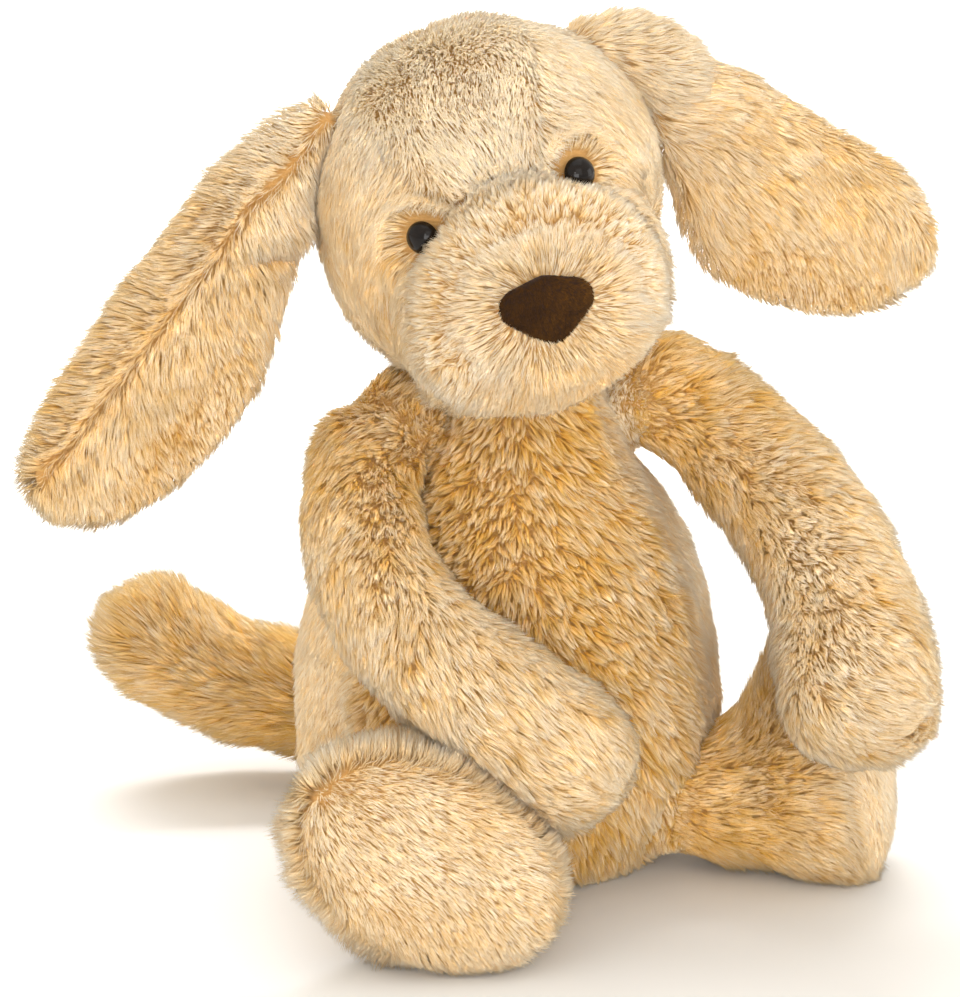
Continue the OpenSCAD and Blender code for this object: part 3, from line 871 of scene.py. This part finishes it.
def comb_torso():
    """Down the sides, out from the middle underneath, and tufted on the belly."""
    points, _, normals = skins["torso"]
    seams = seams_of["torso"]
    ones = np.ones(len(points))
    outward = np.stack([np.sign(points[:, 0]) * 0.2, 0.1 * ones, -ones], 1)
    under = smooth(-normals[:, 2], 0.6, 0.9)[:, None]
    spokes = points * np.array([1, 1, 0])
    flow = along_surface(outward, normals) * (1 - under) + along_surface(spokes, normals) * under
    pile = Pile(points, flow, length=5.6, lean=64, tuft=0.15, tone=0.62)
    # Paler on the torso's +x side, painted light on that side.
    pile.tone += 0.2 * smooth(points[:, 0], 10 * MM, 30 * MM)
    belly = seams.shares()[:, seams.panels.index("belly_panel")]
    pile.length += 2.0 * MM * belly
    pile.lean -= 26 * belly
    pile.tuft += 0.85 * belly
    # Darker on the belly: partly the belly pile's own deeper tone, partly painted shade under the head.
    pile.tone -= 0.42 * belly
    splay_at_seams("torso", pile, normals, 5 * MM, 0.8, 10, skip=("seat_panel",))
    flat = (points[:, 2] < 4 * MM) & (normals[:, 2] < -0.8)
    pile.keep *= np.where(flat, 0.3, 1.0)
    return pile


def comb_limb(organ, joint, radius, **facts):
    """Away from the limb's sewn root over its surface, darker at the root as painted shade where it meets the
    body, and paler towards its end as painted light.
    """
    points, faces, normals = skins[organ]
    edges = edges_of(faces)
    reach = reach_over(points, edges, joint_place(joint), radius * MM)
    flow = along_surface(slope(reach, points, edges), normals, 0.15)
    pile = Pile(points, relaxed(flow, edges, 60), **facts)
    # Painted shade near the root and painted light towards the end.
    pile.tone += 0.35 * smooth(reach, 10 * MM, 70 * MM) - 0.2
    return pile


def comb_arm(organ, joint):
    """A tufted limb."""
    pile = comb_limb(organ, joint, 14, length=8.0, lean=57, tuft=0.65, tone=0.45)
    points, _, normals = skins[organ]
    splay_at_seams(organ, pile, normals, 3 * MM, 0.08, 0)
    return pile


def comb_leg(organ, joint, sole_way, fringe):
    """A limb with a short even sole combed along sole_way, and a share of fringe round it."""
    pile = comb_limb(organ, joint, 19, length=8.0, lean=56, tuft=0.5, tone=0.4)
    points, _, normals = skins[organ]
    seams = seams_of[organ]
    sole = seams.panels[-1]
    share = seams.shares()[:, -1:]
    way = along_surface(np.tile(sole_way, (len(points), 1)), normals)
    pile.flow = pile.flow * (1 - share) + way * share
    pile.length -= 3.2 * MM * share[:, 0]
    pile.tuft -= 0.3 * share[:, 0]
    pile.tone += 0.15 * share[:, 0]
    near = fringe * hump(seams.off, 8 * MM) * (~seams.on(sole)) * (seams.next == len(seams.panels) - 1)
    pile.flow = pile.flow * (1 - near)[:, None] + along_surface(seams.away, normals, 0.5 * MM) * near[:, None]
    pile.length += 2.5 * MM * near
    pile.lean -= 10 * near
    pile.tone += 0.3 * near
    return pile


def comb_ear(organ):
    """Along and across the ear, parted at the right one's fold."""
    points, _, normals = skins[organ]
    ear = Ear(organ, points)
    front = smooth(normals @ ear.face, -0.2, 0.3)[:, None]
    s = np.clip(ear.s, 0, 1)[:, None]
    fan = np.clip(ear.share, -1, 1)[:, None]
    back_way = ear.axis + ear.across * fan * 0.4
    if organ == "right_ear":
        upper = smooth(parting_of(ear) - ear.share, -0.06, 0.06)[:, None]
        front_way = upper * (ear.axis * 0.5 - ear.across) + (1 - upper) * (ear.axis * 0.75 + ear.across * 0.8)
    else:
        sideways = 0.75 * s + 0.25 * fan - 0.5 * (1 - smooth(s, 0, 0.3))
        front_way = ear.axis * (1 - 0.3 * s) + ear.across * sideways
    flow = along_surface(front_way, normals, 0.2) * front + along_surface(back_way, normals) * (1 - front)
    pile = Pile(points, flow, length=7.6, lean=60, tuft=0.4, tone=0.5)
    lower = smooth(ear.share, -0.1, 0.5) * smooth(ear.s, 0.3, 0.6) * front[:, 0]
    pile.length -= 3.4 * MM * lower
    pile.lean -= 18 * lower
    # Paler near the ear's root, painted light on the top of the ear where it meets the head.
    pile.tone += 0.3 * (1 - smooth(ear.s, 0, 0.35))
    pile.tuft *= 0.5 + 0.5 * smooth(ear.s, 0.02, 0.2)
    return pile


combs = {
    "torso": comb_torso(),
    "head": comb_head(),
    "left_ear": comb_ear("left_ear"),
    "right_ear": comb_ear("right_ear"),
    "left_arm": comb_arm("left_arm", "left_shoulder_swing"),
    "right_arm": comb_arm("right_arm", "right_shoulder_swing"),
    "left_leg": comb_leg("left_leg", "left_hip_splay", (0.3, -0.3, -0.9), 0.0),
    "right_leg": comb_leg("right_leg", "right_hip_splay", (0.75, 0.0, -0.65), 1.0),
    # The tail's deep tone is painted shade behind the body.
    "tail": comb_limb("tail", "tail_wag", 13, length=9.5, lean=52, tuft=0.5, tone=0.15),
}
# The organs that each one's pile gives way to where they touch.
NEIGHBOURS = {
    "torso": ["head", "left_arm", "right_arm", "left_leg", "right_leg", "tail"],
    "head": ["torso", "left_ear", "right_ear", "left_arm", "right_arm"],
    "left_ear": ["head"],
    "right_ear": ["head"],
    "left_arm": ["torso", "left_leg", "head"],
    "right_arm": ["torso", "right_leg", "head"],
    "left_leg": ["torso", "left_arm"],
    "right_leg": ["torso", "right_arm"],
    "tail": ["torso"],
}
fur = pile_material("plush_pile", DEEP, PALE)
for index, (organ, facts) in enumerate(ORGANS.items()):
    points, _, normals = skins[organ]
    pile = combs[organ]
    gap = np.full(len(points), 1.0)
    for other in NEIGHBOURS[organ]:
        gap = np.minimum(gap, nearest(points, trees[other], 8 * MM)[1])
    pile.flow = pile.flow + along_surface(wave_vector(points, 26 * MM, 10 * index), normals, 0.3) * 0.18
    pile.keep *= smooth(gap, -1.2 * MM, 0.2 * MM)
    pile.length *= (0.45 + 0.55 * smooth(gap, 0, 6 * MM)) * (1 + 0.12 * waves(points, 14 * MM, 900 + index))
    pile.lean += 6 * waves(points, 18 * MM, 500 + index)
    pile.tone += 0.08 * waves(points, 22 * MM, 700 + index)
    fibres = grow(skins[organ], pile, DENSITY, 100 + 7 * index, WIDTH)
    pile_pieces(facts["panels"], seams_of[organ].zone, fibres, fur, organ)

# ---- hard trim and nose ------------------------------------------------------------------


def velvet_nose():
    """A domed nose with a short dense nap."""
    nose = cover_mesh("nose", ["nose_patch"], 0.7 * MM, relax=8)
    points = arrays(nose.data)[0]
    narrower = 0.08
    points -= np.outer((points - nose_at) @ eye_line * narrower, eye_line)
    nose.data.vertices.foreach_set("co", points.astype(np.float32).ravel())
    shade_smooth(nose)
    felt = grain_material("nose_felt", 1400, srgb(28, 13, 4), srgb(60, 34, 12), 0.4, Roughness=0.95)
    nose.data.materials.append(felt)
    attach(nose, "head")
    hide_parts("nose_patch")
    skin = arrays(nose.data)
    points, _, normals = skin
    off = points - nose_at
    pile = Pile(points, along_surface(-crown_way + off * 60, normals), length=1.5, lean=48, tuft=0.3)
    pile.keep *= smooth(normals @ ahead, 0.0, 0.25)
    # Lighter towards the nose's +x side, a painted highlight on that side of the nose, over a random mottle.
    pile.tone += 0.2 * waves(points, 9 * MM, 41) + 0.4 * smooth(off @ eye_line, -4 * MM, 11 * MM) - 0.2
    fibres = grow(skin, pile, 22.0, 77, 0.17)
    nap = pile_material(
        "nose_nap",
        [(0.0, srgb(22, 10, 1)), (1.0, srgb(50, 28, 4))],
        [(0.0, srgb(34, 18, 2)), (1.0, srgb(90, 58, 16))],
    )
    nap.node_tree.nodes["Principled BSDF"].inputs["Sheen Weight"].default_value = 0.0
    pile_pieces(["nose"], np.zeros(len(points), int), fibres, nap, "head")


def finish_nodes():
    """Materials of the CAD nodes that stay in sight."""
    bead = grain_material("eye_bead", 400, (0.003, 0.002, 0.002), (0.012, 0.007, 0.005), Roughness=0.04)
    bead.node_tree.nodes["Principled BSDF"].inputs["Specular IOR Level"].default_value = 0.3
    bead.node_tree.nodes["Principled BSDF"].inputs["IOR"].default_value = 1.47
    washer = grain_material("washer_plastic", 300, (0.62, 0.61, 0.58), (0.78, 0.77, 0.74), 0.1, Roughness=0.4)
    thread = cloth_material("seam_thread", srgb(206, 158, 96), srgb(230, 192, 134), 2500)
    for node, obj in frame["nodes"].items():
        if obj.hide_render:
            continue
        if node.endswith("_eye"):
            material = bead
        elif node == "eye_washers":
            material = washer
        else:
            material = thread
        obj.data.materials.clear()
        obj.data.materials.append(material)


velvet_nose()
finish_nodes()

# ---- studio --------------------------------------------------------------------------------


def studio():
    """A pale floor and soft light."""
    corners = np.array([[-8, -8, 0], [8, -8, 0], [8, 8, 0], [-8, 8, 0]], float)
    floor = put_mesh("floor", corners, np.array([[0, 1, 2], [0, 2, 3]]))
    paper = grain_material("studio_floor", 3, (0.93, 0.925, 0.92), (0.95, 0.945, 0.94), Roughness=0.9)
    floor.data.materials.append(paper)

    world = bpy.data.worlds.new("studio")
    bpy.context.scene.world = world
    world.use_nodes = True
    back = world.node_tree.nodes["Background"]
    back.inputs["Color"].default_value = (1.0, 0.95, 0.86, 1)
    back.inputs["Strength"].default_value = 0.95

    def lamp(name, at, power, size, aim=(0, 0, 0.1), spread=180):
        data = bpy.data.lights.new(name, "AREA")
        data.energy = power
        data.size = size
        data.spread = math.radians(spread)
        obj = bpy.data.objects.new(name, data)
        obj.location = at
        obj.rotation_euler = (Vector(aim) - Vector(at)).to_track_quat("-Z", "Y").to_euler()
        bpy.context.scene.collection.objects.link(obj)

    lamp("key", (0.3, -1.5, 0.9), 2.5, 1.0)
    lamp("fill", (-0.2, -1.8, 0.15), 13.5, 1.0)
    lamp("side", (1.6, -0.3, 0.35), 3, 0.8)
    lamp("top", (0.1, 0.0, 1.5), 2.5, 1.2)
    lamp("glint", (-0.4, -1.6, 0.8), 1.2, 0.14)
    lamp("back", (0.0, 3.2, 2.6), 320, 3.0, aim=(0, 3.0, 0), spread=80)


def camera():
    """A view 12 degrees round towards the dog's right side and 17 degrees up, from 1.5 m."""
    azimuth, elevation, away, lens = math.radians(-12), math.radians(17), 1.5, 208.3
    back = Vector(
        (
            math.sin(azimuth) * math.cos(elevation),
            -math.cos(azimuth) * math.cos(elevation),
            math.sin(elevation),
        )
    )
    right = Vector((math.cos(azimuth), math.sin(azimuth), 0))
    up = back.cross(right)
    data = bpy.data.cameras.new("camera")
    data.lens = lens
    data.sensor_width = 36
    obj = bpy.data.objects.new("camera", data)
    obj.location = back * away - right * 0.0065 + up * 0.0893
    obj.rotation_euler = back.to_track_quat("Z", "Y").to_euler()
    bpy.context.scene.collection.objects.link(obj)
    bpy.context.scene.camera = obj


studio()
camera()
bpy.context.scene.view_settings.view_transform = "Standard"
